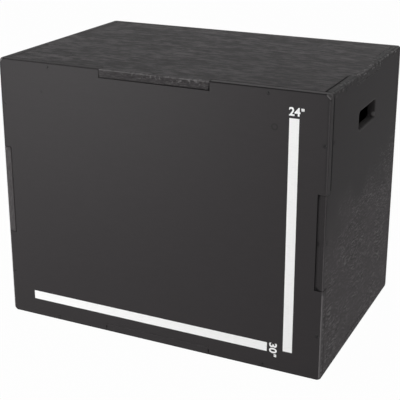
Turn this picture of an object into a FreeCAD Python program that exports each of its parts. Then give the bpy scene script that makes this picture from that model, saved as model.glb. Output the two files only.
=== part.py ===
import FreeCAD, Part
import math
import os

from FreeCAD import Placement, Rotation, Vector

# A plyometric jump box of six plywood boards. Every edge is a finger joint: one board keeps the
# two outer thirds, and its neighbour comes through the middle third as a tongue. Each finger and
# each tongue is held by one countersunk screw. A brace inside stiffens the wide faces.
# The origin is at the middle of the footprint, +Z is up, and the marked face looks along -Y.

# Outer sizes, which are the three jump heights
LENGTH = 762.0
DEPTH = 508.0
HEIGHT = 609.6

# Plywood
BOARD = 18.0
EDGE_ROUND = 3.0
CORNER_RADIUS = 14.0
CORNER_BALL = 1.4 * CORNER_RADIUS
ARRIS = 1.0

# Tongues of the finger joints, by the edge that they lie along
TONGUE_ALONG_LENGTH = 254.0
TONGUE_ALONG_DEPTH = 169.0
TONGUE_ALONG_HEIGHT = 203.0
JOINT_CLEARANCE = 0.6

# Hand holes in the two side panels
HAND_HOLE_WIDTH = 120.0
HAND_HOLE_HEIGHT = 40.0
HAND_HOLE_CORNER = 8.0
HAND_HOLE_DROP = 102.0
HAND_HOLE_ROUND = 3.0
HAND_HOLE_CHAMFER = 1.5

# Brace, which stands in a groove of the front and back panels
GROOVE_DEPTH = 4.0
GROOVE_CLEARANCE = 0.3

# Countersunk wood screws
SCREW_LENGTH = 45.0
SCREW_DIAMETER = 4.0
SCREW_TIP = 6.0
SCREW_HEAD_DIAMETER = 8.0
SCREW_SINK = 0.4
SCREW_CLEARANCE = 0.1
SCREW_SIDES = 10

X = Vector(1, 0, 0)
Y = Vector(0, 1, 0)
Z = Vector(0, 0, 1)
CENTRE = Z * (HEIGHT / 2)

# Each face of the box: the way it looks out, and the way that is up on its board
FACES = {
    "front": (-Y, Z),
    "back": (Y, Z),
    "left": (-X, Z),
    "right": (X, Z),
    "top": (Z, Y),
    "bottom": (-Z, -Y),
}

# The two faces of each joint: the first keeps the outer fingers, and the second has the tongue
JOINTS = [
    ("front", "top"),
    ("front", "bottom"),
    ("front", "left"),
    ("front", "right"),
    ("back", "top"),
    ("back", "bottom"),
    ("back", "left"),
    ("back", "right"),
    ("left", "top"),
    ("left", "bottom"),
    ("right", "top"),
    ("right", "bottom"),
]


def along_axis(direction, x_size, y_size, z_size):
    """The one of three sizes that belongs to an axis direction."""
    return abs(direction.x) * x_size + abs(direction.y) * y_size + abs(direction.z) * z_size


def half_size(direction):
    """Half the outer size of the box along an axis."""
    return along_axis(direction, LENGTH, DEPTH, HEIGHT) / 2


def tongue_length(direction):
    """Length of the tongues on the edges that run along an axis."""
    return along_axis(direction, TONGUE_ALONG_LENGTH, TONGUE_ALONG_DEPTH, TONGUE_ALONG_HEIGHT)


def face_placement(name):
    """Puts a board drawn in XY, with its outer face up, onto its side of the box."""
    normal, upward = FACES[name]
    base = CENTRE + normal * (half_size(normal) - BOARD)
    return Placement(base, Rotation(upward.cross(normal), upward, normal, "ZYX"))


def facing(direction):
    """Name of the face that looks the way of a direction."""
    return next(name for name, axes in FACES.items() if axes[0] == direction)


def edge_form(name, outward, along):
    """Half size of a board towards one edge, then the length and reach of that edge's middle.

    A reach above zero is a tongue, and below zero a notch."""
    half = half_size(outward)
    if (name, facing(outward)) in JOINTS:
        return half, tongue_length(along) + 2 * JOINT_CLEARANCE, -(BOARD + JOINT_CLEARANCE)
    return half - BOARD, tongue_length(along), BOARD


def finger_outline(name):
    """Outline of a board: a rectangle with a tongue or notch in the middle of each edge."""
    normal, upward = FACES[name]
    across = upward.cross(normal)
    half_u, middle_v, reach_u = edge_form(name, across, upward)
    half_v, middle_u, reach_v = edge_form(name, upward, across)
    quarter = [
        (half_u + reach_u, middle_v / 2),
        (half_u, middle_v / 2),
        (half_u, half_v),
        (middle_u / 2, half_v),
        (middle_u / 2, half_v + reach_v),
    ]
    points = []
    for sign_u, sign_v, step in ((1, 1, 1), (-1, 1, -1), (-1, -1, 1), (1, -1, -1)):
        points += [Vector(sign_u * u, sign_v * v, 0) for u, v in quarter[::step]]
    return points


def on_level(edge, level):
    """True for an edge that lies flat at a height."""
    return all(abs(vertex.Z - level) < 1e-6 for vertex in edge.Vertexes)


def rim_edges(board, hole, level):
    """The edges that a hole has left on a board's flat face at a height."""
    reach = hole.BoundBox
    reach.enlarge(ARRIS)
    return [edge for edge in board.Edges if on_level(edge, level) and reach.isInside(edge.BoundBox)]


def plate_and_uprights(width, height):
    """A plate centred on the origin, BOARD thick, and its four upright edges."""
    plate = Part.makeBox(width, height, BOARD, Vector(-width / 2, -height / 2, 0))
    return plate, [edge for edge in plate.Edges if edge.BoundBox.ZLength > BOARD / 2]


def corner_waste(width, height):
    """What comes off the four outer corners of a blank to leave each as part of a ball.

    The ball's radius is just under the distance from its middle to the three sharp edges."""
    waste = []
    for sign_u, sign_v in ((1, 1), (-1, 1), (-1, -1), (1, -1)):
        middle = Vector(
            sign_u * (width / 2 - CORNER_RADIUS),
            sign_v * (height / 2 - CORNER_RADIUS),
            BOARD - CORNER_RADIUS,
        )
        low = middle - Vector(sign_u < 0, sign_v < 0, 0) * CORNER_RADIUS
        block = Part.makeBox(CORNER_RADIUS, CORNER_RADIUS, CORNER_RADIUS, low)
        waste.append(block.cut(Part.makeSphere(CORNER_BALL, middle)))
    return waste


def rounded_blank(name):
    """The outside of the box over one face: round edges and ball corners."""
    normal, upward = FACES[name]
    width, height = 2 * half_size(upward.cross(normal)), 2 * half_size(upward)
    plate, upright = plate_and_uprights(width, height)
    rim = [edge for edge in plate.Edges if on_level(edge, BOARD)]
    return plate.makeFillet(EDGE_ROUND, upright + rim).cut(corner_waste(width, height))


def finger_board(name):
    """A board with eased edges, rounded over where it meets the outside of the box."""
    points = finger_outline(name)
    outline = Part.makePolygon(points + points[:1])
    board = Part.Face(outline).extrude(Z * BOARD)
    flat_edges = [edge for edge in board.Edges if on_level(edge, 0) or on_level(edge, BOARD)]
    return board.makeChamfer(ARRIS, flat_edges).common(rounded_blank(name)).Solids[0]


def with_hand_hole(board):
    """Cuts the hand hole through a side board, rounds its outer rim and chamfers its inner one."""
    hole, upright = plate_and_uprights(HAND_HOLE_WIDTH, HAND_HOLE_HEIGHT)
    hole = hole.makeFillet(HAND_HOLE_CORNER, upright)
    hole.translate(Vector(0, HEIGHT / 2 - HAND_HOLE_DROP, 0))
    board = board.cut(hole)
    board = board.makeFillet(HAND_HOLE_ROUND, rim_edges(board, hole, BOARD))
    return board.makeChamfer(HAND_HOLE_CHAMFER, rim_edges(board, hole, 0)).Solids[0]


def with_groove(board):
    """Cuts the upright groove for the brace into the inner face of a wide board."""
    width = BOARD + 2 * GROOVE_CLEARANCE
    groove = Part.makeBox(width, HEIGHT, GROOVE_DEPTH, Vector(-width / 2, -HEIGHT / 2, 0))
    return board.cut(groove).Solids[0]


def faceted_turning(rings, tip):
    """A solid about Z with SCREW_SIDES sides, from rings (radius, height) that go down to a tip."""
    turns = [2 * math.pi * side / SCREW_SIDES for side in range(SCREW_SIDES + 1)]
    loops = [
        [Vector(radius * math.cos(turn), radius * math.sin(turn), height) for turn in turns]
        for radius, height in rings
    ]
    outlines = [loops[0]]
    for side in range(SCREW_SIDES):
        for upper, lower in zip(loops, loops[1:]):
            wall = [upper[side], lower[side], lower[side + 1], upper[side + 1]]
            outlines.append(wall + wall[:1])
        end = [loops[-1][side], Vector(0, 0, tip), loops[-1][side + 1]]
        outlines.append(end + end[:1])
    faces = [Part.Face(Part.makePolygon(outline)) for outline in outlines]
    return Part.makeSolid(Part.makeShell(faces))


def screw_body(top, clearance):
    """A screw's outer form, pointing down from the surface of its board at height 0.

    The head's cone of 90 degrees runs on up to the height given."""
    shank = SCREW_DIAMETER / 2 + clearance
    cone_top = SCREW_HEAD_DIAMETER / 2 + clearance + SCREW_SINK + top
    rings = [
        (cone_top, top),
        (shank, top - (cone_top - shank)),
        (shank, -SCREW_SINK - SCREW_LENGTH + SCREW_TIP),
    ]
    return faceted_turning(rings, -SCREW_SINK - SCREW_LENGTH - clearance)


def finger_middle(name, along):
    """Distance of a finger's middle from the middle of its edge."""
    end = half_size(along)
    if (name, facing(along)) not in JOINTS:
        end -= BOARD
    return (end + tongue_length(along) / 2) / 2


def screw_placements(first, second):
    """Where the three screws of a joint go: two through the fingers, one through the tongue."""
    out, side = FACES[first][0], FACES[second][0]
    along = out.cross(side)
    along = Vector(abs(along.x), abs(along.y), abs(along.z))
    on_fingers = CENTRE + out * half_size(out) + side * (half_size(side) - BOARD / 2)
    on_tongue = CENTRE + side * half_size(side) + out * (half_size(out) - BOARD / 2)
    shift = along * finger_middle(first, along)
    return [
        Placement(on_fingers - shift, Rotation(Z, out)),
        Placement(on_fingers + shift, Rotation(Z, out)),
        Placement(on_tongue, Rotation(Z, side)),
    ]


def placed(shape, placement):
    """A copy of a shape, moved to a placement."""
    copy = shape.copy()
    copy.Placement = placement
    return copy


def inner_brace():
    """The upright board inside, from groove to groove and from the bottom to the top panel."""
    width = DEPTH - 2 * (BOARD - GROOVE_DEPTH + GROOVE_CLEARANCE)
    height = HEIGHT - 2 * BOARD
    brace = Part.makeBox(BOARD, width, height, Vector(-BOARD / 2, -width / 2, BOARD))
    upright = [edge for edge in brace.Edges if edge.BoundBox.ZLength > height / 2]
    return brace.makeChamfer(ARRIS, upright)


def build():
    """All nodes of the box, by name."""
    boards = {name: finger_board(name) for name in FACES}
    for name in ("left", "right"):
        boards[name] = with_hand_hole(boards[name])
    for name in ("front", "back"):
        boards[name] = with_groove(boards[name])
    boards = {name: placed(board, face_placement(name)) for name, board in boards.items()}

    model_screw = screw_body(-SCREW_SINK, 0)
    model_hole = screw_body(SCREW_SINK, SCREW_CLEARANCE)
    nodes = {}
    for first, second in JOINTS:
        placements = screw_placements(first, second)
        holes = [placed(model_hole, placement) for placement in placements]
        for name in (first, second):
            boards[name] = boards[name].cut(holes)
        nodes[first + "_" + second + "_screws"] = Part.makeCompound(
            [placed(model_screw, placement) for placement in placements]
        )

    for name, board in boards.items():
        nodes[name + "_panel"] = board
    nodes["inner_brace"] = inner_brace()
    return nodes


os.makedirs("parts", exist_ok=True)
for node_name, shape in build().items():
    shape.exportStep("parts/" + node_name + ".step")
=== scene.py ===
import math
from types import SimpleNamespace

import bpy
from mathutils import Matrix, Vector


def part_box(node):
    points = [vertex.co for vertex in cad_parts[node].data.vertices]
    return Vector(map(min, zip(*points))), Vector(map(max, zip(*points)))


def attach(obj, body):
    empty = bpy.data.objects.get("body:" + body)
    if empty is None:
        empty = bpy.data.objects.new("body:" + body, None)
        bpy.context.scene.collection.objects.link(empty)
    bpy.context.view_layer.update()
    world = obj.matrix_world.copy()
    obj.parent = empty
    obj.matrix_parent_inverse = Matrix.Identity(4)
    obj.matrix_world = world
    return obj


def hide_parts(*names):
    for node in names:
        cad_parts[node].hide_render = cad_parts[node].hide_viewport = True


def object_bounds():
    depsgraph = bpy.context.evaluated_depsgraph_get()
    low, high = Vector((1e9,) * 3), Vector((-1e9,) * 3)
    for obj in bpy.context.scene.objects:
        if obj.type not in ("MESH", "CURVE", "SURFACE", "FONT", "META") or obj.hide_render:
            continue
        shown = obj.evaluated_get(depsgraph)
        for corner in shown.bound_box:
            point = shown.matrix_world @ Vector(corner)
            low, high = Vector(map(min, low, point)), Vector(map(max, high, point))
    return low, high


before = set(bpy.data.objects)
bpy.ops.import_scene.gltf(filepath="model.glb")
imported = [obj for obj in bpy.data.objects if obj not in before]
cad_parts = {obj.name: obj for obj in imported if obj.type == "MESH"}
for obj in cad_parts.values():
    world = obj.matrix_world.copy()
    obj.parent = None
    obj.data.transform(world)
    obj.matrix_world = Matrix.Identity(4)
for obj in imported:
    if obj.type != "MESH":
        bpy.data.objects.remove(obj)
cad_low, cad_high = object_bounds()

# A black-stained plywood jump box with white size marks on its front. All sizes are in metres.

# Sizes that the frame gives: the whole box, a board's thickness and the middle third of an upright edge
box_size = cad_high - cad_low
box_centre = (cad_low + cad_high) / 2
front_low, front_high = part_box("front_panel")
BOARD = front_high.y - front_low.y
TONGUE_BOTTOM = cad_low.z + box_size.z / 3
TONGUE_TOP = cad_high.z - box_size.z / 3

# Camera, as the photograph was taken: turn and dip in degrees, focal length and shift in pixels
PHOTO_WIDTH = 400
CAMERA_PLACE = (0.93255, -1.98545, 1.07388)
CAMERA_TURN = 25.478
CAMERA_DIP = 18.213
FOCAL_PIXELS = 989.2
HORIZON_SHIFT = 40
SENSOR = 36.0

# Light: each lamp's place, the point it looks at, its width, height and power
LAMPS = {
    "key_lamp": ((-1.45, -2.6, 0.35), (0, 0, 0.35), 0.5, 0.8, 64),
    "fill_lamp": ((2.2, -2.6, 0.9), (0, 0, 0.35), 1.6, 1.6, 4),
    "back_lamp": ((-1.2, 2.9, 1.6), (0, 0, 0.5), 4.5, 2.0, 8),
}
SURROUNDINGS = 0.3
FLOOR_GLOW = 0.98
FLOOR_SIZE = 60
FLOOR_GAP = 0.0002

# White marks on the front: margins are from the front's left, right, top and bottom edges, and a number's
# depth is what it has before it is made as thin as the paint
PAINT_THICKNESS = 0.00015
PAINT_SUNK = 0.00005
BAR_WIDTH = 0.0204
HEIGHT_BAR_RIGHT_MARGIN = 0.0622
HEIGHT_BAR_TOP_MARGIN = 0.0545
HEIGHT_BAR_BOTTOM_MARGIN = 0.0501
LENGTH_BAR_LEFT_MARGIN = 0.0607
LENGTH_BAR_END = 0.6439
LENGTH_BAR_BOTTOM_MARGIN = 0.0419
DIGITS_LENGTH = 0.0234
DIGITS_HEIGHT = 0.0173
INCH_MARK_LENGTH = 0.0062
INCH_MARK_HEIGHT = 0.0058
INCH_MARK_GAP = 0.0019
INCH_MARK_DROP = 0.0009
HEIGHT_NUMBER_LEAD = 0.0013
HEIGHT_NUMBER_TOP_MARGIN = 0.0322
LENGTH_NUMBER_LEFT = 0.6491
LENGTH_NUMBER_TOP_MARGIN = 0.5460
NUMBER_BOLDNESS = 0.028
NUMBER_DEPTH = 0.5
MERGE_DISTANCE = 0.00001

# Countersunk screws, and how many spots to the metre their finish has
SCREW_SIDES = 24
HEAD_RADIUS = 0.0039
HEAD_RIM = 0.0003
SHANK_RADIUS = 0.002
SCREW_POINT = 0.006
POINT_TAPER = 0.05
RECESS_REACH = 0.0046
RECESS_WIDTH = 0.0011
RECESS_DEPTH = 0.0020
RECESS_TAPER = 0.45
SCREW_GLINT_SPOTS = 260
SCREW_DULL_SPOTS = 1200

# Colours
BLACK_STAIN = (0.0255, 0.0230, 0.0241, 1)
# Thin stain shows on the grain's streaks, and also paints the paler low sides, partly as light from the
# floor
THIN_STAIN_AND_LIGHT = (0.0780, 0.0690, 0.0725, 1)
# Deep stain is the dark of fibres, tears, knots and dents, and also painted shade in seams, beside them,
# round corners and upright crests, under scuffs, on the upper edges' outer veneer and in screw recesses
DEEP_STAIN_AND_SHADE = (0.0030, 0.0028, 0.0030, 1)
# Ply stain is the pale of the veneer layers, and also painted light on the hand hole's walls
PLY_STAIN_AND_LIGHT = (0.0740, 0.0690, 0.0705, 1)
# Rubbed stain is wear on edges and splinters, and also painted highlights on crests and the hand hole's rim
RUBBED_AND_HIGHLIT_STAIN = (0.1150, 0.1080, 0.1105, 1)
# Chipped stain is chips, scuffs and crumbs, and also painted highlights on the upper edges, the corners and
# the low strip on the right
CHIPPED_AND_HIGHLIT_STAIN = (0.2400, 0.2300, 0.2320, 1)
# Dust in the seams, pale so that it also lifts their shade as painted light
PALE_DUST_AND_LIGHT = (0.0700, 0.0660, 0.0670, 1)
WHITE_PAINT = (0.88, 0.88, 0.875, 1)
WORN_PAINT = (0.72, 0.72, 0.71, 1)
SCREW_BLACK = (0.022, 0.021, 0.0215, 1)
# Paler spots on the screws, partly rubbed steel and partly painted glints
SCREW_RUB_AND_GLINT = (0.06, 0.058, 0.058, 1)
FLOOR_WHITE = (0.90, 0.90, 0.90, 1)

# Grain: where its pattern starts on the first board and moves to on the next, how far it sways, how many
# spots each of its layers has to the metre along the grain and across it, how strongly its fibres show, and
# how high the relief of wood and paint is
GRAIN_START = (8.3, 4.7, 3.1)
GRAIN_STEP = (1.7, 0.6, 0.0)
GRAIN_SWAY = 0.02
SWAY_SPOTS = (5, 12, 12)
BROAD_SPOTS = (9, 26, 26)
DASH_SPOTS = (34, 115, 115)
FIBRE_SPOTS = (40, 1100, 1100)
PORE_SPOTS = (70, 1500, 1500)
PATCH_SPOTS = (3.5, 9, 9)
FIBRE_SHARE = 0.08
WOOD_RELIEF = 0.0004
PAINT_RELIEF = 0.0003

# Veneer layers on the boards' edges: their number, how far they wobble, how closely their wobbles and tears
# are packed through the board and along it, and how near the box's outside the first layer lies
PLY_COUNT = 9
PLY_WOBBLE = 0.8
WOBBLE_SPOTS = 0.25
TEAR_SPOTS = 1.6
SPOTS_THROUGH_PLIES = 420
SPOTS_ALONG_PLIES = 60
ON_OUTSIDE = 0.001

# Knots in the front: way from the left, way from the top, inner radius and outer radius
KNOTS = ((0.6493, 0.0760, 0.0048, 0.0066), (0.1079, 0.0649, 0.0, 0.0022))
KNOT_SOFT = 0.0014
KNOT_SHARE = 0.35

# Painted shade in the seams: with how many rays crevices are found, how near another board must be for it,
# how far in from the right seams stay open, and how much shows of shut ones
CREVICE_SAMPLES = 8
SEAM_REACH = 0.004
OPEN_SEAM_REACH = 0.040
SHUT_SEAM = 0.15

# Painted shade beside the seams: over which ways in from the box's edges it begins and ends
RIM_SHADE_BEGINS = (0.006, 0.010)
RIM_SHADE_ENDS = (0.030, 0.040)

# Pale dust in the seams, which also lifts their shade as painted light: how far behind the front it begins
# and is full, how much of it the lowest seams have, and how many crumbs to the metre
DUST_AND_LIGHT_BEGINS = 0.150
DUST_AND_LIGHT_FULL = 0.172
LOW_SEAM_DUST_AND_LIGHT = 0.7
CRUMB_SPOTS = 150

# Wear, painted highlights and painted shade on the outer edges and corners: how wide they are, where they
# begin, how many spots to the metre they have, and how strongly each kind shows
EDGE_CREST = 0.0019
UPRIGHT_CREST_WIDTH = 0.0024
CORNER_HIGHLIGHT_REACH = 0.0118
# Painted shade and highlights on the edges, and some wear there, fade out towards the left, where the key
# lamp lights the box
FAINT_EDGE_END = -0.15
FAINT_EDGE_FADE = 0.20
LIGHT_STRIP_TOP = TONGUE_BOTTOM - 0.4 * BOARD
RAGGED_SPOTS = 220
PATCHY_SPOTS = 40
BATTERED_SPOTS = (160, 80, 160)
LINE_SHARE = 0.3
LOW_CREST_SHARE = 0.7
HIGH_CREST_SHARE = 0.35
LOW_STRIP_HIGHLIGHT_SHARE = 0.45
BROW_SHARE = 0.6
DENT_SHARE = 0.95
RING_SHARE = 0.9
CORNER_SHARE = 0.38

# Marks at the hand hole: how far in from the box's edges they begin, how strongly the painted highlight on
# its rim shows, and where the palest spot on its walls is, from the box's right side, middle and top, and
# how far this reaches
HOLE_INSET = 0.055
HOLE_RIM_HIGHLIGHT = 0.6
HOLE_PALE_SPOT = (cad_high.x - 0.003, box_centre.y + 0.060, cad_high.z - 0.1156)
HOLE_PALE_REACH = 0.007

# Scuffs low on the sides, with painted shadows beside them and paler stain round them that is partly painted
# light from the floor: up to which height they lie, how this rises towards the back and strays, how wide and
# bent the strokes are, how closely they are packed, and how strongly each kind of mark shows
SCUFF_TOP = 0.40
SCUFF_FULL = 0.22
SCUFF_SLOPE = 0.25
SCUFF_STRAY = 0.25
SCUFF_WIDTH = 0.003
SCUFF_SWIRL = 0.025
SWIRL_SPOTS = 16
CLUSTER_SPOTS = 15
STRAY_SPOTS = 7
LONG_STROKES = (260, 34, 260)
SHORT_STROKES = (330, 80, 330)
SCUFF_MARKS = (("Low", 0.66, THIN_STAIN_AND_LIGHT), ("Scuff_Shadows", 1.00, DEEP_STAIN_AND_SHADE), ("Scuffs", 0.80, CHIPPED_AND_HIGHLIT_STAIN))

# How each board is finished
# grain: which way it runs
# stain, rough, gloss: how pale, dull and glossy the stain on its faces is
# streaks, scuffs, relief: how much these show on its faces
# plies, upper_plies: how pale the veneer layers on its edges are, and on its edges that face up
# edge_stain, torn: how pale the stain between these layers is, and how torn they are
# upper_rubbed_and_highlit: how pale the plies on its edges that face up are towards the right, partly wear
# and partly painted highlight
# veneer, veneer_dark: how thick the outermost veneer is there, and how dark, partly stain and partly painted
# shade
# rubbed_and_highlit: how pale the board is along the box's upper edges, partly wear and partly painted
# highlight
# seams: how strong the painted shade in its seams is
# rims, rim_reach: how strong the painted shade along its rims beside the seams is, and how far it reaches
# dust_and_light: how much pale dust fills its seams away from the front, lifting their shade as painted
# light
ALONG_LENGTH = (0, 0, 0)
ALONG_DEPTH = (0, 0, math.pi / 2)
UPRIGHT = (0, math.pi / 2, 0)
FRONT_FINISH = dict(
    grain=ALONG_LENGTH, stain=1.0, rough=0.50, gloss=0.118, streaks=0.02, scuffs=0.0, relief=0.05,
    plies=1.0, upper_plies=1.0, edge_stain=1.0, torn=0.0, upper_rubbed_and_highlit=0.8, veneer=0.0042,
    veneer_dark=1.0, rubbed_and_highlit=0.0, seams=0.9, rims=0.0, rim_reach=0.004, dust_and_light=0.0,
)
TOP_FINISH = dict(
    grain=ALONG_LENGTH, stain=0.80, rough=0.68, gloss=0.15, streaks=0.88, scuffs=0.0, relief=0.35,
    plies=0.35, upper_plies=0.35, edge_stain=1.0, torn=1.0, upper_rubbed_and_highlit=0.0, veneer=0.0042,
    veneer_dark=0.0, rubbed_and_highlit=0.9, seams=0.95, rims=0.95, rim_reach=0.004, dust_and_light=1.0,
)
# The sides' stain is paler than the front's: painted light that lifts the shade on the box's sides
SIDE_FINISH = dict(
    grain=ALONG_DEPTH, stain=1.15, rough=0.73, gloss=0.15, streaks=0.02, scuffs=1.0, relief=0.10,
    plies=0.0, upper_plies=0.35, edge_stain=0.72, torn=0.15, upper_rubbed_and_highlit=0.0, veneer=0.0060,
    veneer_dark=0.8, rubbed_and_highlit=0.9, seams=0.95, rims=0.95, rim_reach=0.009, dust_and_light=1.0,
)
BOARD_FINISHES = {
    "front_panel": FRONT_FINISH,
    "back_panel": FRONT_FINISH,
    "top_panel": TOP_FINISH,
    "bottom_panel": dict(TOP_FINISH, streaks=0.5, plies=0.1, edge_stain=1.13, torn=0.0, dust_and_light=0.0),
    "left_panel": dict(
        SIDE_FINISH, scuffs=0.45, plies=1.1, upper_plies=0.9, edge_stain=1.0, torn=0.6, rubbed_and_highlit=0.3, dust_and_light=0.0
    ),
    "right_panel": SIDE_FINISH,
    "inner_brace": dict(TOP_FINISH, grain=UPRIGHT, streaks=0.5, dust_and_light=0.0),
}


# Helpers for meshes

def deselect_all():
    """Leaves edit mode and deselects everything."""
    if bpy.context.object and bpy.context.object.mode != "OBJECT":
        bpy.ops.object.mode_set(mode="OBJECT")
    bpy.ops.object.select_all(action="DESELECT")


def make_active(piece):
    """Selects one object and nothing else."""
    deselect_all()
    piece.select_set(True)
    bpy.context.view_layer.objects.active = piece


def select_faces(piece, wanted):
    """In edit mode, selects the faces whose middle and normal pass a test."""
    bpy.ops.object.mode_set(mode="OBJECT")
    mesh = piece.data
    for part in (mesh.vertices, mesh.edges, mesh.polygons):
        part.foreach_set("select", [False] * len(part))
    for face in mesh.polygons:
        face.select = wanted(face.center, face.normal)
    bpy.ops.object.mode_set(mode="EDIT")
    bpy.ops.mesh.select_mode(type="FACE")


def settle(piece):
    """Puts an object's place into its mesh, so that the object sits at the origin."""
    make_active(piece)
    bpy.ops.object.transform_apply(location=True, rotation=True, scale=True)


def corners_of(points):
    """The lowest and highest corner of the box round some points."""
    return Vector(map(min, *points)), Vector(map(max, *points))


def add_piece(piece, name, material):
    """Names a finished piece, gives it its finish and lets it ride on the box."""
    piece.name = name
    piece.data.name = name
    piece.data.materials.clear()
    piece.data.materials.append(material)
    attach(piece, "root")


# Helpers for materials

def feed(tree, socket, value):
    """Links a socket to another one, or gives it a fixed value."""
    if isinstance(value, bpy.types.NodeSocket):
        tree.links.new(value, socket)
    else:
        socket.default_value = value


def add_node(tree, kind, inputs=None, **settings):
    """Adds a shader node with its settings and what feeds its inputs."""
    node = tree.nodes.new("ShaderNode" + kind)
    for name, value in settings.items():
        setattr(node, name, value)
    for key, value in (inputs or {}).items():
        feed(tree, node.inputs[key], value)
    return node


def maths(tree, operation, first, second=0.0):
    """One step of arithmetic."""
    return add_node(tree, "Math", {0: first, 1: second}, operation=operation).outputs[0]


def product(tree, first, *others):
    """Values multiplied with one another."""
    for other in others:
        first = maths(tree, "MULTIPLY", first, other)
    return first


def largest(tree, first, *others):
    """The largest of several values."""
    for other in others:
        first = maths(tree, "MAXIMUM", first, other)
    return first


def total(tree, first, *others):
    """The sum of several values."""
    for other in others:
        first = maths(tree, "ADD", first, other)
    return first


def swing(tree, value, reach):
    """A value from 0 to 1 as a swing to both sides of 0, as wide as the reach in all."""
    return product(tree, maths(tree, "SUBTRACT", value, 0.5), reach)


def ramp(tree, value, low, high, start=0.0, end=1.0):
    """Eases from start to end as a value goes from low to high."""
    inputs = {"Value": value, "From Min": low, "From Max": high, "To Min": start, "To Max": end}
    return add_node(tree, "MapRange", inputs, interpolation_type="SMOOTHSTEP").outputs[0]


def within(tree, value, low, high, soft):
    """1 between two values, easing to 0 over a short way outside them."""
    return product(tree, ramp(tree, value, low - soft, low), ramp(tree, value, high, high + soft, 1.0, 0.0))


def vector_maths(tree, operation, first, second=(0, 0, 0)):
    """One step of arithmetic on each axis."""
    return add_node(tree, "VectorMath", {0: first, 1: second}, operation=operation).outputs[0]


def axes(tree, vector):
    """The X, Y and Z of a vector."""
    return add_node(tree, "SeparateXYZ", {0: vector}).outputs


def way_from(tree, vector, place):
    """The distance of a spot from a place."""
    return add_node(tree, "VectorMath", {0: vector, 1: place}, operation="DISTANCE").outputs["Value"]


def noise(tree, vector, scale, detail=2.0, roughness=0.5):
    """Soft random values from 0 to 1."""
    inputs = {"Vector": vector, "Scale": scale, "Detail": detail, "Roughness": roughness}
    return add_node(tree, "TexNoise", inputs).outputs[0]


def drawn_out(tree, vector, spots, detail=2.0, roughness=0.5):
    """Soft random values from 0 to 1, with another number of spots to the metre along each axis."""
    return noise(tree, vector_maths(tree, "MULTIPLY", vector, spots), 1, detail, roughness)


def crevices(tree, reach, **settings):
    """1 on open surfaces, falling to 0 near others, or near the piece's own rims if looked for inside it."""
    node = add_node(tree, "AmbientOcclusion", {"Distance": reach}, samples=CREVICE_SAMPLES, **settings)
    return node.outputs["AO"]


def blended(tree, factor, first, second):
    """A blend of two values."""
    return add_node(tree, "Mix", {0: factor, 2: first, 3: second}).outputs[0]


def mixed(tree, factor, first, second):
    """A blend of two colours."""
    return add_node(tree, "Mix", {0: factor, 6: first, 7: second}, data_type="RGBA").outputs[2]


def tinted(tree, colour, stain, *shares):
    """A colour under another one, which covers it by all the shares multiplied."""
    return mixed(tree, product(tree, *shares), colour, stain)


def shade(colour, share):
    """A colour made darker or paler."""
    return [share * part for part in colour[:3]] + [1]


def raised(tree, height, strength, distance):
    """Normals of a surface with fine relief."""
    inputs = {"Strength": strength, "Distance": distance, "Height": height}
    return add_node(tree, "Bump", inputs).outputs[0]


def start_group(name, inputs, outputs):
    """A new node group, with what it is given and what it gives out."""
    group = bpy.data.node_groups.new(name, "ShaderNodeTree")
    for socket, kind in inputs.items():
        group.interface.new_socket(name=socket, in_out="INPUT", socket_type="NodeSocket" + kind)
    for socket in outputs:
        group.interface.new_socket(name=socket, in_out="OUTPUT", socket_type="NodeSocketFloat")
    given = group.nodes.new("NodeGroupInput").outputs
    result = group.nodes.new("NodeGroupOutput").inputs
    return group, given, result


def use_group(tree, group, **inputs):
    """Places a node group in a material with its own values, and gives its outputs."""
    node = add_node(tree, "Group", node_tree=group)
    for name, value in inputs.items():
        feed(tree, node.inputs[name.title()], value)
    return node.outputs


def start_material(name, roughness, specular):
    """A new material with one Principled shader, its tree and the shader's inputs."""
    material = bpy.data.materials.new(name)
    material.use_nodes = True
    tree = material.node_tree
    shader = tree.nodes["Principled BSDF"]
    shader.inputs["Roughness"].default_value = roughness
    shader.inputs["Specular IOR Level"].default_value = specular
    return material, tree, shader.inputs


# Node groups that several finishes share

def grain_group():
    """Wood grain that runs along X: short pale streaks, fine fibres, open pores and broad patches."""
    group, given, result = start_group(
        "wood_grain", {"Vector": "Vector"}, ("Streaks", "Fibres", "Pores", "Patches")
    )
    sideways = swing(group, drawn_out(group, given["Vector"], SWAY_SPOTS), GRAIN_SWAY)
    shift = add_node(group, "CombineXYZ", {"Y": sideways, "Z": sideways}).outputs[0]
    vector = vector_maths(group, "ADD", given["Vector"], shift)
    broad = drawn_out(group, vector, BROAD_SPOTS, detail=3, roughness=0.6)
    dashes = drawn_out(group, vector, DASH_SPOTS, detail=4, roughness=0.68)
    streaks = total(group, product(group, broad, 0.3), product(group, dashes, 0.7))
    fibres = drawn_out(group, vector, FIBRE_SPOTS, detail=3, roughness=0.6)
    pores = drawn_out(group, vector, PORE_SPOTS, detail=1)
    patches = drawn_out(group, vector, PATCH_SPOTS, detail=3, roughness=0.6)
    feed(group, result["Streaks"], ramp(group, streaks, 0.42, 0.62))
    feed(group, result["Fibres"], ramp(group, fibres, 0.3, 0.7))
    feed(group, result["Pores"], ramp(group, pores, 0.62, 0.74))
    feed(group, result["Patches"], ramp(group, patches, 0.32, 0.68))
    return group


def strokes(tree, vector, spots, channel):
    """Short strokes along Y, scattered at random, each as strong as its luck has it."""
    vector = vector_maths(tree, "MULTIPLY", vector, spots)
    cells = add_node(tree, "TexVoronoi", {"Vector": vector, "Scale": 1}).outputs
    luck = add_node(tree, "SeparateColor", {0: cells["Color"]}).outputs[channel]
    stroke = ramp(tree, cells["Distance"], 0.2, 0.5, 1.0, 0.0)
    return product(tree, stroke, ramp(tree, luck, 0.4, 0.9))


def stroke_layers(tree, vector, channel):
    """Long strokes with finer ones between them."""
    return largest(tree, *[strokes(tree, vector, spots, channel) for spots in (LONG_STROKES, SHORT_STROKES)])


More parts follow.
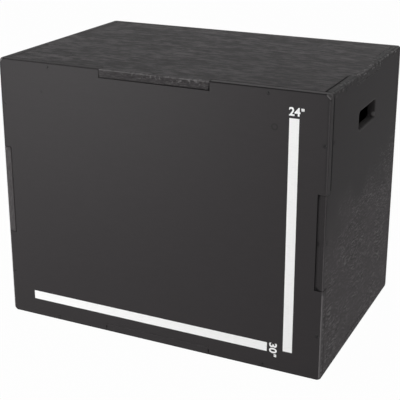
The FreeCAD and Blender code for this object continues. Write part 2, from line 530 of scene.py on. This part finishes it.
def scuff_group():
    """Short scuffs along Y, low on the sides, where feet and other boxes rub.

    Scuffs are pale strokes, the dark strokes beside them are their painted shadows, and Low is where the
    stain is thin and the sides are paler as painted light from the floor.
    """
    group, given, result = start_group("scuffs", {"Vector": "Vector"}, ("Scuffs", "Scuff_Shadows", "Low"))
    limits = (cad_low.z + SCUFF_FULL, cad_low.z + SCUFF_TOP, 1.0, 0.0)
    place = axes(group, given["Vector"])
    height = total(group, place["Z"], swing(group, noise(group, given["Vector"], STRAY_SPOTS), SCUFF_STRAY))
    reach = maths(group, "SUBTRACT", height, product(group, place["Y"], SCUFF_SLOPE))
    clusters = ramp(group, noise(group, given["Vector"], CLUSTER_SPOTS, detail=3), 0.36, 0.58, 0.35, 1.0)
    here = product(group, ramp(group, reach, *limits), clusters)
    swirl = swing(group, noise(group, given["Vector"], SWIRL_SPOTS), SCUFF_SWIRL)
    aside = add_node(group, "CombineXYZ", {"Z": swirl}).outputs[0]
    bent = vector_maths(group, "ADD", given["Vector"], aside)
    below = vector_maths(group, "ADD", bent, (0, 0, SCUFF_WIDTH))
    feed(group, result["Scuffs"], product(group, stroke_layers(group, bent, 0), here))
    feed(group, result["Scuff_Shadows"], product(group, stroke_layers(group, below, 1), here))
    feed(group, result["Low"], ramp(group, height, *limits))
    return group


def upright_edge_wear_and_light(tree, from_edge, facing_z, height):
    """The pale line on the upright edges, partly wear and partly painted highlight, and the painted shade
    beside its upper part.
    """
    upright = ramp(tree, facing_z, 0.3, 0.7, 1.0, 0.0)
    crest = ramp(tree, from_edge, UPRIGHT_CREST_WIDTH, 1.4 * UPRIGHT_CREST_WIDTH, 1.0, 0.0)
    beside = within(tree, from_edge, 1.7 * UPRIGHT_CREST_WIDTH, 2.5 * UPRIGHT_CREST_WIDTH, 0.5 * UPRIGHT_CREST_WIDTH)
    upper_third = ramp(tree, height, 0.15 * box_size.z, 0.2 * box_size.z)
    return {"Crest": product(tree, crest, upright), "Line": product(tree, beside, upper_third)}


def upper_edge_wear_and_light(tree, vector, from_edge, above):
    """The pale line on the upper edges, partly wear and partly painted highlight, and the chips and dark
    dents near it.
    """
    patchy = ramp(tree, noise(tree, vector, PATCHY_SPOTS, detail=3), 0.35, 0.6, 0.4, 1.0)
    crest = ramp(tree, from_edge, EDGE_CREST, 1.5 * EDGE_CREST, 1.0, 0.0)
    battered = drawn_out(tree, vector, BATTERED_SPOTS)
    near = product(tree, ramp(tree, from_edge, 2 * EDGE_CREST, 8 * EDGE_CREST, 1.0, 0.0), above)
    return {
        "Brow": product(tree, crest, above, patchy),
        "Specks": product(tree, ramp(tree, battered, 0.58, 0.64), near),
        "Gouges": product(tree, ramp(tree, battered, 0.40, 0.47, 1.0, 0.0), near),
    }


def corner_light_and_shade(tree, from_corner, above):
    """Painted highlights on the upper corners, and painted shade in a line round them."""
    beyond = maths(tree, "SUBTRACT", from_corner, CORNER_HIGHLIGHT_REACH)
    corner = ramp(tree, beyond, -EDGE_CREST / 2, EDGE_CREST / 2, 1.0, 0.0)
    ring = within(tree, beyond, EDGE_CREST / 2, EDGE_CREST, EDGE_CREST / 2)
    return {"Corner": product(tree, corner, above), "Ring": product(tree, ring, above)}


def outer_edge_group():
    """Wear, painted highlights and painted shade along the outer edges of the box.

    Crest is the pale line on the upright edges, wear and painted highlight, and Line the painted shade
    beside its upper part. Brow is the pale line on the upper edges, wear and painted highlight, Specks the
    chips and Gouges the dark dents near them, Corner the painted highlight on the corners, Ring the painted
    shade round these, and Inset the way in from the nearest edge.
    """
    group, given, result = start_group(
        "outer_edges",
        {"Vector": "Vector", "Facing": "Vector"},
        ("Crest", "Line", "Brow", "Specks", "Gouges", "Corner", "Ring", "Inset"),
    )
    from_centre = vector_maths(group, "SUBTRACT", given["Vector"], box_centre)
    away = vector_maths(group, "ABSOLUTE", from_centre)
    x, y, z = axes(group, vector_maths(group, "SUBTRACT", box_size / 2, away))
    height = axes(group, from_centre)["Z"]
    above = ramp(group, height, 0, box_size.z / 2)
    facing_z = axes(group, vector_maths(group, "ABSOLUTE", given["Facing"]))["Z"]
    ragged = swing(group, noise(group, given["Vector"], RAGGED_SPOTS, detail=3), EDGE_CREST)
    from_upright = maths(group, "MAXIMUM", x, y)
    across = maths(group, "MINIMUM", x, y)
    from_upper = maths(group, "MAXIMUM", across, z)
    wear = {"Inset": largest(group, across, maths(group, "MINIMUM", from_upright, z))}
    wear.update(upright_edge_wear_and_light(group, total(group, from_upright, ragged), facing_z, height))
    wear.update(upper_edge_wear_and_light(group, given["Vector"], total(group, from_upper, ragged), above))
    wear.update(corner_light_and_shade(group, total(group, x, y, z, ragged), above))
    for name, mask in wear.items():
        feed(group, result[name], mask)
    return group


def ply_group():
    """Veneer layers on a board's edge, from how deep in the board a spot is, 0 to 1."""
    group, given, result = start_group(
        "ply_layers", {"Depth": "Float", "Vector": "Vector"}, ("Layer", "Rough")
    )
    wobble = swing(group, noise(group, given["Vector"], WOBBLE_SPOTS, detail=3), PLY_WOBBLE)
    count = total(group, product(group, given["Depth"], PLY_COUNT), wobble)
    layer = ramp(group, maths(group, "PINGPONG", count, 1.0), 0.3, 0.7)
    torn = noise(group, given["Vector"], TEAR_SPOTS, detail=4, roughness=0.65)
    feed(group, result["Layer"], product(group, layer, ramp(group, torn, 0.35, 0.65)))
    feed(group, result["Rough"], torn)
    return group


# Plywood

def board_spot(tree, board, finish):
    """Where each spot of a board lies and which way it faces, as far as the finish has to know."""
    low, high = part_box(board)
    size = high - low
    axis = list(size).index(min(size))
    outer_side = high[axis] if high[axis] > cad_high[axis] - ON_OUTSIDE else low[axis]
    places = add_node(tree, "TexCoord").outputs
    facing = axes(tree, places["Normal"])
    spot = SimpleNamespace(place=places["Object"], normal=places["Normal"], through=axis)
    place = axes(tree, spot.place)
    spot.x, spot.y, spot.z = place
    spot.below_face = maths(tree, "ABSOLUTE", maths(tree, "SUBTRACT", place[axis], outer_side))
    spot.depth = maths(tree, "DIVIDE", spot.below_face, size[axis])
    spot.on_face = ramp(tree, maths(tree, "ABSOLUTE", facing[axis]), 0.6, 0.95)
    spot.side_on = ramp(tree, maths(tree, "ABSOLUTE", facing["X"]), 0.3, 0.7)
    spot.upward = ramp(tree, facing["Z"], 0.25, 0.6)
    spot.rightward = ramp(tree, spot.x, FAINT_EDGE_END, FAINT_EDGE_END + FAINT_EDGE_FADE)
    spot.behind = ramp(tree, spot.y, cad_low.y + DUST_AND_LIGHT_BEGINS, cad_low.y + DUST_AND_LIGHT_FULL, 0.0, finish["dust_and_light"])
    spot.below_tongue = ramp(tree, spot.z, LIGHT_STRIP_TOP - BOARD / 4, LIGHT_STRIP_TOP, 1.0, 0.0)
    spot.near_rim = crevices(tree, finish["rim_reach"], inside=True, only_local=True)
    return spot


def add_patterns(tree, spot, number, finish):
    """Adds the grain, wear and plies at each spot of a board, the grain by the board's number."""
    start = [first + number * step for first, step in zip(GRAIN_START, GRAIN_STEP)]
    mapping = {"Vector": spot.place, "Rotation": finish["grain"], "Location": start}
    spot.grain = use_group(tree, wood_grain, vector=add_node(tree, "Mapping", mapping).outputs[0])
    spot.wear = use_group(tree, low_scuffs, vector=spot.place)
    spot.edges = use_group(tree, outer_edges, vector=spot.place, facing=spot.normal)
    spot.in_hole = ramp(tree, spot.edges["Inset"], 0.9 * HOLE_INSET, 1.1 * HOLE_INSET)
    spots = [SPOTS_THROUGH_PLIES if axis == spot.through else SPOTS_ALONG_PLIES for axis in range(3)]
    packed = vector_maths(tree, "MULTIPLY", spot.place, spots)
    spot.plies = use_group(tree, ply_layers, depth=spot.depth, vector=packed)


def dark_rims(tree, spot, finish, by_floor):
    """Where a board gets painted shade along its rims beside the seams."""
    rim = ramp(tree, spot.near_rim, 0.6, ramp(tree, spot.on_face, 0, 1, 0.75, 0.97), 1.0, 0.0)
    inset = spot.edges["Inset"]
    by_seam = product(tree, ramp(tree, inset, *RIM_SHADE_BEGINS), ramp(tree, inset, *RIM_SHADE_ENDS, 1.0, 0.0))
    unscuffed = maths(tree, "SUBTRACT", 1.0, product(tree, spot.side_on, spot.wear["Low"]))
    return product(tree, rim, by_seam, unscuffed, largest(tree, spot.rightward, by_floor), finish["rims"])


def seam_dust_and_light(tree, spot):
    """How much pale filling shows in a seam at the spot, lifting the seam's shade as painted light, and how
    much of the seam's painted shade it hides.
    """
    lowest = within(tree, spot.z, cad_low.z + 0.85 * BOARD, cad_low.z + 1.2 * BOARD, 0.1 * BOARD)
    tongue_top = product(
        tree,
        ramp(tree, spot.x, cad_high.x - 0.9 * BOARD, cad_high.x - 0.7 * BOARD),
        within(tree, spot.z, TONGUE_TOP - BOARD / 4, TONGUE_TOP + BOARD / 4, BOARD / 8),
    )
    by_right_edge = ramp(tree, spot.x, cad_high.x - BOARD / 3, cad_high.x - BOARD / 6)
    light_strip = product(tree, spot.below_tongue, by_right_edge)
    filled = largest(tree, spot.behind, tongue_top, light_strip)
    return largest(tree, filled, product(tree, lowest, LOW_SEAM_DUST_AND_LIGHT)), largest(tree, filled, lowest)


def seam_masks(tree, spot, finish):
    """Where a board gets painted shade at its seams, and where a pale filling lifts their shade as painted
    light.
    """
    # Painted shade where another board crowds a spot, found by occlusion
    in_seam = ramp(tree, crevices(tree, SEAM_REACH), 0.62, 0.98, 1.0, 0.0)
    by_right = ramp(tree, spot.x, cad_high.x - OPEN_SEAM_REACH, cad_high.x - BOARD, SHUT_SEAM, 1.0)
    height = maths(tree, "SUBTRACT", spot.z, ramp(tree, spot.rightward, 0, 1, 0.3 * BOARD, 0.0))
    by_floor = ramp(tree, height, cad_low.z + 0.6 * BOARD, cad_low.z + 0.75 * BOARD, 1.0, SHUT_SEAM)
    open_seam = product(tree, in_seam, largest(tree, by_right, by_floor), finish["seams"])
    dark = largest(tree, open_seam, dark_rims(tree, spot, finish, by_floor))
    dust_and_light, hidden = seam_dust_and_light(tree, spot)
    return product(tree, dark, maths(tree, "SUBTRACT", 1.0, hidden)), product(tree, in_seam, dust_and_light)


def scuffed(tree, colour, wear, share):
    """A colour marked by the scuffs low on the sides: thinner stain that is partly painted light from the
    floor, with short pale strokes and their painted shadows.
    """
    for mark, strength, stain in SCUFF_MARKS:
        colour = tinted(tree, colour, stain, wear[mark], share, strength)
    return colour


def knotted(tree, colour, vector):
    """A colour with the ring of one small knot and the dot of another."""
    for left, drop, inner, outer in KNOTS:
        away = way_from(tree, vector, (cad_low.x + left, cad_low.y, cad_high.z - drop))
        mark = within(tree, away, inner, outer, KNOT_SOFT)
        colour = tinted(tree, colour, DEEP_STAIN_AND_SHADE, mark, KNOT_SHARE)
    return colour


def lit_hole_walls(tree, colour, spot):
    """Painted light on the walls of the hand hole, strongest near the outer face, and a paler spot at one
    end of it.
    """
    outward = ramp(tree, spot.below_face, 0.1 * BOARD, 0.9 * BOARD, 1.0, 0.45)
    patchy = ramp(tree, spot.plies["Rough"], 0.35, 0.6, 0.5, 1.0)
    colour = tinted(tree, colour, PLY_STAIN_AND_LIGHT, spot.in_hole, outward, patchy)
    away = way_from(tree, spot.place, HOLE_PALE_SPOT)
    pale_spot = ramp(tree, away, 0.4 * HOLE_PALE_REACH, HOLE_PALE_REACH, 0.9, 0.0)
    return tinted(tree, colour, CHIPPED_AND_HIGHLIT_STAIN, pale_spot)


def face_colour(tree, spot, finish):
    """The stain on a board's faces: thin on the grain's streaks, deeper on its fibres, and scuffed."""
    streaks = product(tree, spot.grain["Streaks"], ramp(tree, spot.grain["Patches"], 0, 1, 0.5, 1.0))
    stain = shade(BLACK_STAIN, finish["stain"])
    colour = tinted(tree, stain, THIN_STAIN_AND_LIGHT, streaks, finish["streaks"])
    colour = tinted(tree, colour, DEEP_STAIN_AND_SHADE, spot.grain["Fibres"], FIBRE_SHARE)
    return scuffed(tree, colour, spot.wear, finish["scuffs"])


def ply_colour(tree, spot, finish):
    """The stain on the veneer layers of a board's edges, with dark tears and pale splinters."""
    pale = blended(tree, spot.upward, finish["plies"], finish["upper_plies"])
    pale = blended(tree, spot.side_on, pale, 0.9 * finish["plies"])
    layers = ramp(tree, spot.plies["Layer"], 0, 1, 0.45, 1.0)
    stain = shade(BLACK_STAIN, finish["stain"] * finish["edge_stain"])
    colour = tinted(tree, stain, PLY_STAIN_AND_LIGHT, pale, layers)
    torn = largest(tree, spot.upward, finish["torn"])
    tears = ramp(tree, spot.plies["Rough"], 0.36, 0.48, 0.6, 0.0)
    splinters = ramp(tree, spot.plies["Rough"], 0.54, 0.66, 0.0, 0.5)
    colour = tinted(tree, colour, DEEP_STAIN_AND_SHADE, tears, torn)
    return tinted(tree, colour, RUBBED_AND_HIGHLIT_STAIN, splinters, torn)


def edge_colour(tree, spot, finish):
    """The plies of a board's edges, scuffed, paler where they face up as wear and painted highlight, with
    painted light on the hand hole's walls and a dark outermost veneer that is partly painted shade.
    """
    colour = ply_colour(tree, spot, finish)
    colour = scuffed(tree, colour, spot.wear, product(tree, spot.side_on, spot.below_tongue))
    # Up-facing edges to the right are paler, partly wear and partly painted highlight
    colour = tinted(tree, colour, RUBBED_AND_HIGHLIT_STAIN, spot.upward, spot.rightward, finish["upper_rubbed_and_highlit"])
    thickness = finish["veneer"]
    veneer = ramp(tree, spot.below_face, 0.8 * thickness, 1.2 * thickness, finish["veneer_dark"], 0.0)
    # The outer veneer's painted shade is fainter on the left, where the key lamp lights the edge
    fading = ramp(tree, spot.rightward, 0, 1, 0.45, 1.0)
    colour = tinted(tree, colour, DEEP_STAIN_AND_SHADE, veneer, spot.upward, fading)
    return lit_hole_walls(tree, colour, spot)


def edge_wear_and_light(tree, colour, spot, finish):
    """A colour with wear and painted highlights along the box's outer edges and corners, painted shade
    beside them, and a painted highlight on the hand hole's rim.
    """
    edges = spot.edges
    # Painted shade beside the upright edges' crests
    colour = tinted(tree, colour, DEEP_STAIN_AND_SHADE, edges["Line"], spot.on_face, LINE_SHARE)
    # The crests are paler, partly wear and partly painted highlight, brightest on the strip low on the right
    middle = (0.4 * cad_high.z, 0.6 * cad_high.z)
    crest = ramp(tree, spot.z, *middle, LOW_CREST_SHARE, HIGH_CREST_SHARE)
    colour = tinted(tree, colour, RUBBED_AND_HIGHLIT_STAIN, edges["Crest"], crest)
    colour = tinted(tree, colour, CHIPPED_AND_HIGHLIT_STAIN, edges["Crest"], spot.below_tongue, LOW_STRIP_HIGHLIGHT_SHARE)
    # The upper edges are paler, partly wear and partly painted highlight
    colour = tinted(tree, colour, CHIPPED_AND_HIGHLIT_STAIN, edges["Brow"], BROW_SHARE * finish["rubbed_and_highlit"])
    backward = ramp(tree, spot.behind, 0, 1, 0.4, 1.0)
    battered = product(tree, backward, spot.rightward, finish["rubbed_and_highlit"] * finish["dust_and_light"])
    colour = tinted(tree, colour, DEEP_STAIN_AND_SHADE, edges["Gouges"], battered, DENT_SHARE)
    colour = tinted(tree, colour, CHIPPED_AND_HIGHLIT_STAIN, edges["Specks"], battered)
    # Painted shade round the upper corners, and a painted highlight on them
    colour = tinted(tree, colour, DEEP_STAIN_AND_SHADE, edges["Ring"], RING_SHARE)
    colour = tinted(tree, colour, CHIPPED_AND_HIGHLIT_STAIN, edges["Corner"], CORNER_SHARE)
    # A painted highlight on the rim of the hand hole
    rim = ramp(tree, spot.near_rim, 0.6, 0.88, 1.0, 0.0)
    return tinted(tree, colour, RUBBED_AND_HIGHLIT_STAIN, rim, spot.in_hole, spot.on_face, HOLE_RIM_HIGHLIGHT)


def seamed(tree, colour, spot, dark, dusty_and_lit):
    """A colour with painted shade in its seams, or a pale filling that lifts their shade as painted light,
    and pale crumbs in it away from the front.
    """
    crumbs = ramp(tree, noise(tree, spot.place, CRUMB_SPOTS, detail=3), 0.44, 0.54)
    dust_and_light = tinted(tree, PALE_DUST_AND_LIGHT, CHIPPED_AND_HIGHLIT_STAIN, crumbs, spot.behind)
    return tinted(tree, tinted(tree, colour, DEEP_STAIN_AND_SHADE, dark), dust_and_light, dusty_and_lit)


def board_roughness(tree, spot, finish, dark):
    """How dull a board is: less on the grain's streaks, more on torn plies, and most in its seams."""
    sheen = 0.05 * finish["streaks"]
    face = ramp(tree, spot.grain["Streaks"], 0, 1, finish["rough"] + sheen, finish["rough"] - sheen)
    edge = ramp(tree, spot.plies["Rough"], 0, 1, 0.62, 0.8)
    return blended(tree, dark, blended(tree, spot.on_face, edge, face), 1.0)


def board_relief(tree, spot, finish):
    """Normals of a board: streaks, fibres and scuffs stand out, pores are sunk, and plies are uneven."""
    grain = spot.grain
    plies = spot.plies
    fibres = total(tree, product(tree, grain["Fibres"], 0.4), grain["Streaks"])
    open_grain = maths(tree, "SUBTRACT", fibres, product(tree, grain["Pores"], 0.5))
    scuffs = product(tree, spot.wear["Scuffs"], 0.5 * finish["scuffs"])
    face = total(tree, product(tree, open_grain, finish["relief"]), scuffs)
    edge = product(tree, total(tree, plies["Layer"], plies["Rough"]), 0.4)
    height = blended(tree, spot.on_face, edge, face)
    return raised(tree, height, strength=1.0, distance=WOOD_RELIEF)


def plywood(board, number):
    """Black-stained plywood of one board: grain on its faces, veneer layers on its edges."""
    finish = BOARD_FINISHES[board]
    material, tree, shader = start_material("black_plywood_" + board, finish["rough"], finish["gloss"])
    spot = board_spot(tree, board, finish)
    add_patterns(tree, spot, number, finish)
    dark, dusty_and_lit = seam_masks(tree, spot, finish)
    colour = mixed(tree, spot.on_face, edge_colour(tree, spot, finish), face_colour(tree, spot, finish))
    if board == "front_panel":
        colour = knotted(tree, colour, spot.place)
    colour = edge_wear_and_light(tree, colour, spot, finish)
    feed(tree, shader["Base Color"], seamed(tree, colour, spot, dark, dusty_and_lit))
    feed(tree, shader["Roughness"], board_roughness(tree, spot, finish, dark))
    feed(tree, shader["Normal"], board_relief(tree, spot, finish))
    return material


# Paint and screws' finish

def white_paint():
    """White paint over the grain of the front, slightly thin on the pores."""
    material, tree, shader = start_material("white_paint", roughness=0.55, specular=0.4)
    places = add_node(tree, "TexCoord").outputs
    grain = use_group(tree, wood_grain, vector=places["Object"])
    feed(tree, shader["Base Color"], tinted(tree, WHITE_PAINT, WORN_PAINT, grain["Pores"], 0.6))
    feed(tree, shader["Roughness"], ramp(tree, grain["Fibres"], 0, 1, 0.48, 0.62))
    relief = maths(tree, "SUBTRACT", grain["Fibres"], grain["Pores"])
    feed(tree, shader["Normal"], raised(tree, relief, strength=0.2, distance=PAINT_RELIEF))
    return material


def black_screws():
    """Black oxide on steel, with paler spots here and there that are partly wear and partly painted glints,
    and painted shade in the recess.
    """
    material, tree, shader = start_material("black_screws", roughness=0.55, specular=0.118)
    places = add_node(tree, "TexCoord").outputs
    rubbed_and_highlit = ramp(tree, noise(tree, places["Object"], SCREW_GLINT_SPOTS, detail=3), 0.54, 0.64)
    # Painted shade in the cross recess, found by occlusion
    recess = ramp(tree, crevices(tree, RECESS_DEPTH), 0.5, 0.95, 1.0, 0.0)
    colour = tinted(tree, SCREW_BLACK, SCREW_RUB_AND_GLINT, rubbed_and_highlit)
    feed(tree, shader["Base Color"], tinted(tree, colour, DEEP_STAIN_AND_SHADE, recess))
    dull = ramp(tree, noise(tree, places["Object"], SCREW_DULL_SPOTS), 0.3, 0.7, 0.5, 0.65)
    feed(tree, shader["Roughness"], dull)
    return material


# White marks

def painted_bar(name, left, right, bottom, top):
    """A painted bar on the front, between distances from the box's left and bottom edges."""
    deselect_all()
    middle = (cad_low.x + (left + right) / 2, cad_low.y + PAINT_SUNK, cad_low.z + (bottom + top) / 2)
    bpy.ops.mesh.primitive_plane_add(size=1, location=middle, rotation=(math.pi / 2, 0, 0))
    bar = bpy.context.object
    bar.scale = (right - left, top - bottom, 1)
    settle(bar)
    select_faces(bar, lambda middle, normal: True)
    outward = (0, -PAINT_SUNK - PAINT_THICKNESS, 0)
    bpy.ops.mesh.extrude_region_move(TRANSFORM_OT_translate={"value": outward})
    bpy.ops.mesh.select_all(action="SELECT")
    bpy.ops.mesh.normals_make_consistent(inside=False)
    deselect_all()
    add_piece(bar, name, white)


def painted_text(words, length, height):
    """Bold characters of a given size and the paint's depth, flat, their top left corner at the origin."""
    deselect_all()
    bpy.ops.object.text_add()
    text = bpy.context.object
    text.data.body = words
    text.data.offset = NUMBER_BOLDNESS
    text.data.extrude = NUMBER_DEPTH
    bpy.ops.object.convert(target="MESH")
    low, high = corners_of([vertex.co for vertex in text.data.vertices])
    bpy.ops.object.mode_set(mode="EDIT")
    bpy.ops.mesh.select_all(action="SELECT")
    bpy.ops.mesh.remove_doubles(threshold=MERGE_DISTANCE)
    bpy.ops.transform.translate(value=(-low.x, -high.y, 0))
    deselect_all()
    size = high - low
    text.scale = (length / size.x, height / size.y, (PAINT_THICKNESS + PAINT_SUNK) / size.z)
    settle(text)
    return text


def painted_number(name, digits, turn, left, top):
    """A painted size on the front; left and top are distances from the box's left and top edges."""
    number = painted_text(digits, DIGITS_LENGTH, DIGITS_HEIGHT)
    inch_mark = painted_text('"', INCH_MARK_LENGTH, INCH_MARK_HEIGHT)
    inch_mark.location = (DIGITS_LENGTH + INCH_MARK_GAP, -INCH_MARK_DROP, 0)
    settle(inch_mark)
    make_active(number)
    inch_mark.select_set(True)
    bpy.ops.object.join()
    number.rotation_euler = (math.pi / 2, turn, 0)
    middle_depth = cad_low.y + (PAINT_SUNK - PAINT_THICKNESS) / 2
    number.location = (cad_low.x + left, middle_depth, cad_high.z - top)
    settle(number)
    add_piece(number, name, white)


def add_marks():
    """Both bars and both numbers, as painted on the front."""
    bar_left = box_size.x - HEIGHT_BAR_RIGHT_MARGIN - BAR_WIDTH
    painted_bar(
        "painted_height_bar", bar_left, bar_left + BAR_WIDTH,
        HEIGHT_BAR_BOTTOM_MARGIN, box_size.z - HEIGHT_BAR_TOP_MARGIN,
    )
    painted_bar(
        "painted_length_bar", LENGTH_BAR_LEFT_MARGIN, LENGTH_BAR_END,
        LENGTH_BAR_BOTTOM_MARGIN, LENGTH_BAR_BOTTOM_MARGIN + BAR_WIDTH,
    )
    painted_number(
        "painted_height_number", "24", 0, bar_left - HEIGHT_NUMBER_LEAD, HEIGHT_NUMBER_TOP_MARGIN
    )
    painted_number(
        "painted_length_number", "30", math.pi / 2,
        LENGTH_NUMBER_LEFT + DIGITS_HEIGHT, LENGTH_NUMBER_TOP_MARGIN,
    )


# Screws

def cross_recess(screw):
    """Cuts a tapered cross into a screw's head."""
    for turn in (0, math.pi / 2):
        deselect_all()
        bpy.ops.mesh.primitive_cube_add(size=1, rotation=(0, 0, turn))
        blade = bpy.context.object
        blade.scale = (RECESS_REACH, RECESS_WIDTH, 2 * RECESS_DEPTH)
        settle(blade)
        select_faces(blade, lambda middle, normal: normal.z < -0.5)
        bpy.ops.transform.resize(value=(RECESS_TAPER, RECESS_TAPER, 1))
        make_active(screw)
        cut = screw.modifiers.new("recess", "BOOLEAN")
        cut.operation = "DIFFERENCE"
        cut.object = blade
        bpy.ops.object.modifier_apply(modifier=cut.name)
        bpy.data.objects.remove(blade)


def wood_screw(length):
    """One countersunk screw that points down, its head's top at the origin."""
    deselect_all()
    bpy.ops.mesh.primitive_cylinder_add(
        vertices=SCREW_SIDES, radius=HEAD_RADIUS, depth=HEAD_RIM, location=(0, 0, -HEAD_RIM / 2)
    )
    screw = bpy.context.object
    settle(screw)
    cone = HEAD_RADIUS - SHANK_RADIUS
    shank = length - HEAD_RIM - cone - SCREW_POINT
    select_faces(screw, lambda middle, normal: normal.z < -0.5)
    for drop, narrowing in ((cone, SHANK_RADIUS / HEAD_RADIUS), (shank, 1), (SCREW_POINT, POINT_TAPER)):
        bpy.ops.mesh.extrude_region_move(TRANSFORM_OT_translate={"value": (0, 0, -drop)})
        bpy.ops.transform.resize(value=(narrowing, narrowing, 1))
    cross_recess(screw)
    return screw


def screw_boxes(node):
    """The lowest and highest corner of each of the three screws in a CAD node."""
    low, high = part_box(node)
    along = max(range(3), key=lambda axis: high[axis] - low[axis])
    middle = (low[along] + high[along]) / 2
    sixth = (high[along] - low[along]) / 6
    groups = {-1: [], 0: [], 1: []}
    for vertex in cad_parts[node].data.vertices:
        away = vertex.co[along] - middle
        groups[0 if abs(away) < sixth else int(math.copysign(1, away))].append(vertex.co)
    return [corners_of(group) for group in groups.values()]


def screw_row(node, model):
    """Copies of the model screw in place of one CAD node, as one piece."""
    copies = []
    for low, high in screw_boxes(node):
        place = (low + high) / 2
        axis = max(range(3), key=lambda side: high[side] - low[side])
        outward = Vector((0, 0, 0))
        outward[axis] = math.copysign(1, place[axis] - box_centre[axis])
        place[axis] = high[axis] if outward[axis] > 0 else low[axis]
        copy = model.copy()
        copy.data = model.data.copy()
        bpy.context.collection.objects.link(copy)
        copy.rotation_euler = outward.to_track_quat("Z", "Y").to_euler()
        copy.location = place
        settle(copy)
        copies.append(copy)
    make_active(copies[0])
    for copy in copies:
        copy.select_set(True)
    bpy.ops.object.join()
    row = bpy.context.object
    add_piece(row, node.replace("screws", "wood_screws"), screw_finish)
    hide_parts(node)


def add_screws():
    """All screws, three to a joint."""
    nodes = [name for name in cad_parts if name.endswith("_screws")]
    low, high = screw_boxes(nodes[0])[0]
    model = wood_screw(max(high - low))
    for node in nodes:
        screw_row(node, model)
    bpy.data.objects.remove(model)


# Floor, light and camera

def shown_white(tree):
    """1 for rays that show the background: straight to the camera, or through gloss or glass."""
    rays = add_node(tree, "LightPath").outputs
    return largest(tree, rays["Is Glossy Ray"], rays["Is Transmission Ray"], rays["Is Camera Ray"])


def add_floor():
    """A wide pale floor that shows nearly white and keeps the shadow of the box."""
    deselect_all()
    bpy.ops.mesh.primitive_plane_add(size=FLOOR_SIZE, location=(0, 0, cad_low.z - FLOOR_GAP))
    floor = bpy.context.object
    floor.name = "floor"
    material, tree, shader = start_material("pale_floor", roughness=0.9, specular=0.0)
    shader["Base Color"].default_value = FLOOR_WHITE
    glow = add_node(tree, "Emission", {"Strength": 1.0}).outputs[0]
    share = product(tree, shown_white(tree), FLOOR_GLOW)
    diffuse = tree.nodes["Principled BSDF"].outputs[0]
    blend = add_node(tree, "MixShader", {0: share, 1: diffuse, 2: glow}).outputs[0]
    feed(tree, tree.nodes["Material Output"].inputs["Surface"], blend)
    floor.data.materials.append(material)


def add_world():
    """White surroundings, which light the box softly."""
    world = bpy.data.worlds.new("studio")
    bpy.context.scene.world = world
    world.use_nodes = True
    tree = world.node_tree
    background = tree.nodes["Background"]
    background.inputs["Color"].default_value = (1, 1, 1, 1)
    feed(tree, background.inputs["Strength"], ramp(tree, shown_white(tree), 0, 1, SURROUNDINGS, 1.0))


def add_lamp(name, place, target, width, height, power):
    """A soft lamp that looks at a point, unseen itself."""
    lamp = bpy.data.objects.new(name, bpy.data.lights.new(name, "AREA"))
    lamp.data.shape = "RECTANGLE"
    lamp.data.size = width
    lamp.data.size_y = height
    lamp.data.energy = power
    lamp.location = place
    lamp.rotation_euler = (Vector(target) - Vector(place)).to_track_quat("-Z", "Y").to_euler()
    lamp.visible_camera = False
    bpy.context.collection.objects.link(lamp)


def add_camera():
    """The camera at the photograph's place, turn and framing."""
    camera = bpy.data.objects.new("camera", bpy.data.cameras.new("camera"))
    camera.location = CAMERA_PLACE
    camera.rotation_euler = (math.radians(90 - CAMERA_DIP), 0, math.radians(CAMERA_TURN))
    camera.data.sensor_width = SENSOR
    camera.data.lens = FOCAL_PIXELS / PHOTO_WIDTH * SENSOR
    camera.data.shift_y = -HORIZON_SHIFT / PHOTO_WIDTH
    bpy.context.collection.objects.link(camera)
    bpy.context.scene.camera = camera


bpy.context.scene.view_settings.view_transform = "Standard"

wood_grain = grain_group()
low_scuffs = scuff_group()
outer_edges = outer_edge_group()
ply_layers = ply_group()
white = white_paint()
screw_finish = black_screws()

for number, board in enumerate(BOARD_FINISHES):
    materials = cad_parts[board].data.materials
    materials.clear()
    materials.append(plywood(board, number))

add_marks()
add_screws()
add_floor()
add_world()
for name, lamp in LAMPS.items():
    add_lamp(name, *lamp)
add_camera()
